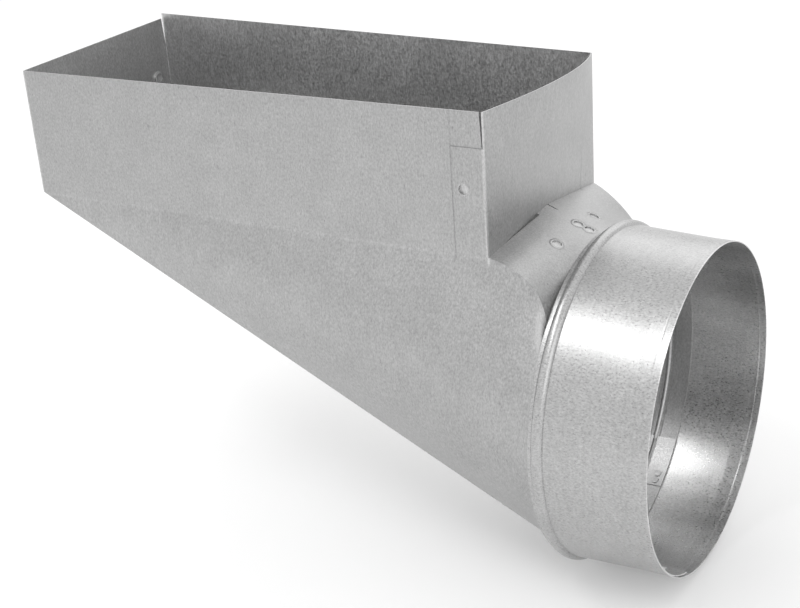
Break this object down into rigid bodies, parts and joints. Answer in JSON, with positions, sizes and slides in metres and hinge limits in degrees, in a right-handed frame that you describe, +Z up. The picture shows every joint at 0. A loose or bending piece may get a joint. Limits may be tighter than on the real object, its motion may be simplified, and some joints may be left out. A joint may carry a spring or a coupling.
{
  "type": "register boot",
  "caption": "Sheet steel end boot: open rectangular box for a floor or wall register, sloping down into a round beaded collar for duct.",
  "frame": {"origin": "centre of the rectangular register opening, at the height of its rim", "axes": "+X along the box's long side towards the round collar, +Y to the back, +Z up out of the rectangular opening"},
  "size_m": [0.3411, 0.1594, 0.2309],
  "materials": {
    "front_sheet": "galvanised, satin",
    "back_sheet": "galvanised, satin",
    "collar_sheet": "galvanised, satin"
  },
  "bodies": {
    "root": {"front_half": "front_sheet", "back_half": "back_sheet", "collar": "collar_sheet"}
  },
  "joints": []
}
